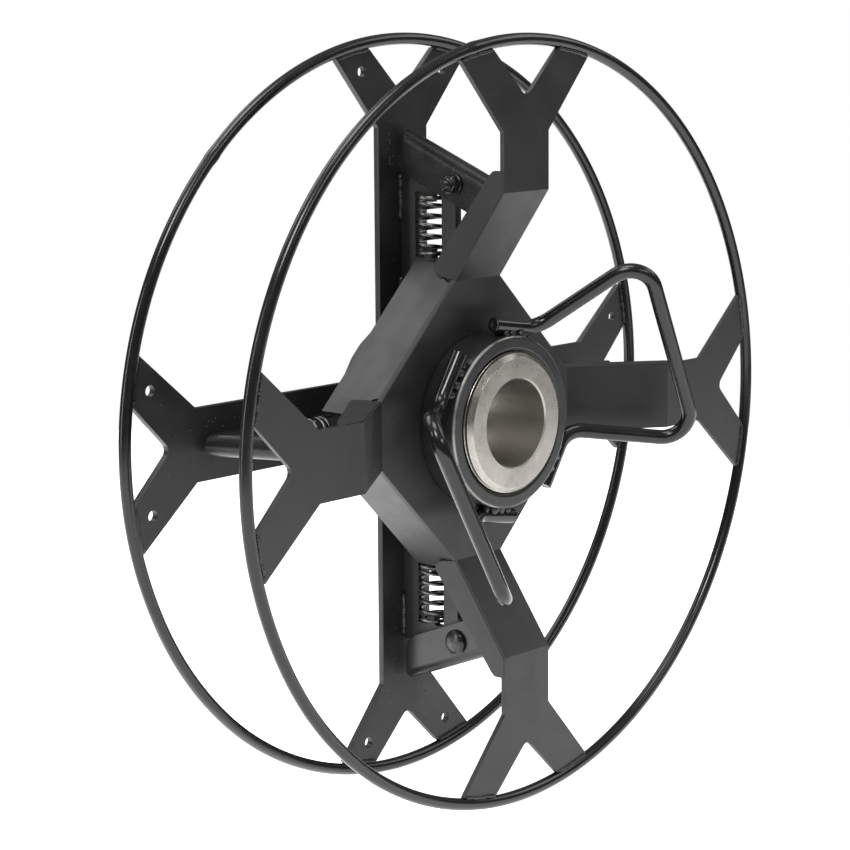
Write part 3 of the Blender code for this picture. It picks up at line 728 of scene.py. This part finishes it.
# ---- welds --------------------------------------------------------------------------------
seed = 0
for k in range(4):
    turn = quarter(k)
    for side in (-1.0, 1.0):
        a0, a1 = math.asin(0.0275 / TIP_R), math.asin(0.0545 / TIP_R)
        for where, y, r, size, body in (
                ("rear_tip_back", CROSS_Y0 + 0.0026, TIP_R + 0.0002, 0.0017, "reel"),
                ("rear_tip_front", CROSS_Y0 - 0.0002, TIP_R - 0.0002, 0.0012, "reel"),
                ("cover_tip_front", COVER_RIM_Y + 0.0001, TIP_R - 0.0001, 0.0011, "cover_body"),
                ("cover_tip_back", COVER_RIM_Y + 0.0030, TIP_R + 0.0002, 0.0013, "cover_body")):
            seed += 1
            path = []
            for i in range(46):
                a = side * (a0 + 0.004 + (a1 - a0 - 0.008) * i / 45.0)
                wander = 0.0004 * noise.noise(Vector((i * 0.21, seed * 1.7, 0.0)))
                path.append(turn @ Vector((math.sin(a) * (r + wander), y, math.cos(a) * (r + wander))))
            bead("%s_weld_%d%s" % (where, k + 1, "l" if side < 0 else "r"), path, size, body, seed)
    for side in (-1.0, 1.0):
        for part, (z0, z1) in enumerate(((0.052, 0.078), (0.112, 0.138))):
            seed += 1
            x, y = side * 0.0027, CROSS_Y0 - 0.0003
            path = [turn @ p for p in line((x, y, z0), (x, y, z1))]
            bead("carrier_%d_weld_%d%s" % (k + 1, part, "l" if side < 0 else "r"), path, 0.0017, "reel", seed)
        seed += 1
        x, z = side * 0.0026, HUB_BODY_R + 0.0006
        path = [turn @ p for p in line((x, 0.0190, z), (x, 0.0440, z))]
        bead("carrier_%d_foot_weld_%s" % (k + 1, "l" if side < 0 else "r"), path, 0.0015, "reel", seed,
             up=turn @ Vector((0.0, 0.0, 1.0)))

weld_r = HUB_BODY_R + 0.0003
circle = [Vector((weld_r * math.sin(a), CROSS_Y0 - 0.0006, weld_r * math.cos(a)))
          for a in [2.0 * math.pi * i / 440 for i in range(440)]]
bead("hub_front_weld", circle, 0.0020, "reel", 77, closed=True)

# spatter thrown on the cross beside the carriers
rng = random.Random(11)
lumps = []
for k in range(4):
    for n in range(46):
        side = rng.choice((-1.0, 1.0))
        z = rng.gauss(0.158, 0.012) if rng.random() < 0.7 else rng.uniform(0.085, 0.150)
        clear = 0.0082 if z > 0.130 else 0.0040
        x = side * min(0.0185, clear + abs(rng.gauss(0.0, 0.0035)))
        r = rng.uniform(0.00022, 0.00068)
        at = quarter(k) @ Vector((x, CROSS_Y0 + 0.00005, z))
        lumps.append(blob(at, (r, r * 0.8, r), Matrix.Identity(3), n + 50 * k, 5, 7))
verts, faces = joined(lumps)
made("cross_spatter", verts, faces, WELD, "reel", 80.0)

# ---- stage --------------------------------------------------------------------------------
FLOOR_Z = -(HOOP_R + BAR_R) - 0.0004


def glowing_disc(name, scale, rough, glow, sides, radius, at):
    """White disc that shines a little, so that it shows as paper white."""
    look = Look(name, specular=0.2, tint=(0.9, 0.9, 0.9))
    shade = look.span(look.noise(scale, 2.0), 0.3, 0.7)
    look.colour(look.mix(shade, (0.90, 0.90, 0.895), (0.915, 0.915, 0.912)))
    look.shader.inputs["Roughness"].default_value = rough
    look.shader.inputs["Emission Color"].default_value = (1.0, 1.0, 1.0, 1.0)
    look.shader.inputs["Emission Strength"].default_value = glow
    bpy.ops.mesh.primitive_circle_add(vertices=sides, radius=radius, fill_type="NGON", location=at)
    disc = bpy.context.object
    disc.name = name
    disc.data.materials.append(look.mat)


glowing_disc("studio_floor", 3.0, 0.85, 0.95, 96, 1.25, (0.0, 0.0, FLOOR_Z))
glowing_disc("light_table", 5.0, 0.5, 2.0, 64, 0.17, (-0.15, 0.17, FLOOR_Z + 0.0001))

world = bpy.data.worlds.new("studio")
world.use_nodes = True
bpy.context.scene.world = world
tree = world.node_tree
tree.nodes.clear()
out = tree.nodes.new("ShaderNodeOutputWorld")
shade = tree.nodes.new("ShaderNodeBackground")
coord = tree.nodes.new("ShaderNodeTexCoord")
parts = tree.nodes.new("ShaderNodeSeparateXYZ")
ramp = tree.nodes.new("ShaderNodeValToRGB")
tree.links.new(coord.outputs["Generated"], parts.inputs["Vector"])
scale = tree.nodes.new("ShaderNodeMapRange")
scale.inputs["From Min"].default_value = -1.0
scale.inputs["From Max"].default_value = 1.0
tree.links.new(parts.outputs["Z"], scale.inputs["Value"])
tree.links.new(scale.outputs["Result"], ramp.inputs["Fac"])
ramp.color_ramp.elements[0].position = 0.0
ramp.color_ramp.elements[0].color = (0.20, 0.20, 0.20, 1.0)
ramp.color_ramp.elements[1].position = 1.0
ramp.color_ramp.elements[1].color = (0.40, 0.40, 0.41, 1.0)
for at, level in ((0.42, 0.20), (0.50, 0.14), (0.66, 0.16), (0.85, 0.30)):
    e = ramp.color_ramp.elements.new(at)
    e.color = (level, level, level, 1.0)
tree.links.new(ramp.outputs["Color"], shade.inputs["Color"])
shade.inputs["Strength"].default_value = 1.0
backdrop = tree.nodes.new("ShaderNodeBackground")
backdrop.inputs["Color"].default_value = (1.0, 1.0, 1.0, 1.0)
seen = tree.nodes.new("ShaderNodeLightPath")
either = tree.nodes.new("ShaderNodeMixShader")
tree.links.new(seen.outputs["Is Camera Ray"], either.inputs["Fac"])
tree.links.new(shade.outputs["Background"], either.inputs[1])
tree.links.new(backdrop.outputs["Background"], either.inputs[2])
tree.links.new(either.outputs["Shader"], out.inputs["Surface"])


def softbox(name, at, target, size, power):
    light = bpy.data.lights.new(name, "AREA")
    light.shape = "RECTANGLE"
    light.size, light.size_y = size
    light.energy = power
    obj = bpy.data.objects.new(name, light)
    obj.location = at
    obj.rotation_euler = (Vector(target) - Vector(at)).to_track_quat("-Z", "Y").to_euler()
    bpy.context.scene.collection.objects.link(obj)
    return obj


softbox("key_box", (-1.7, -0.9, 2.1), (0.0, 0.0, 0.0), (0.8, 0.7), 29.0)
softbox("back_box", (-0.35, 1.55, 1.65), (0.0, 0.0, 0.0), (1.5, 1.2), 15.0)
softbox("side_box", (1.6, -0.8, 1.3), (0.0, 0.0, 0.0), (1.1, 0.9), 6.5)
softbox("left_strip", (-2.3, 1.0, 0.5), (0.0, 0.0, 0.0), (0.3, 1.8), 14.0)
softbox("top_box", (-0.30, -0.20, 2.2), (0.0, 0.0, 0.0), (1.1, 0.8), 17.0)
softbox("front_strip", (0.2, -2.4, 1.5), (0.0, 0.0, 0.0), (1.4, 0.25), 9.0)

# ---- camera -------------------------------------------------------------------------------
forward = Vector((0.71921, 0.67970, -0.14404)).normalized()
right = Vector((0.68588, -0.72766, -0.00897))
right = (right - forward * right.dot(forward)).normalized()
up = right.cross(forward)
cam = bpy.data.cameras.new("camera")
cam.sensor_width = 36.0
cam.lens = 100.0
cam.shift_x = 0.040
cam.shift_y = -0.086
cam_obj = bpy.data.objects.new("camera", cam)
cam_obj.matrix_world = Matrix((
    (right.x, up.x, -forward.x, -1.0113), (right.y, up.y, -forward.y, -0.8982),
    (right.z, up.z, -forward.z, 0.2344), (0.0, 0.0, 0.0, 1.0)))
bpy.context.scene.collection.objects.link(cam_obj)
bpy.context.scene.camera = cam_obj
bpy.context.scene.view_settings.view_transform = "Standard"
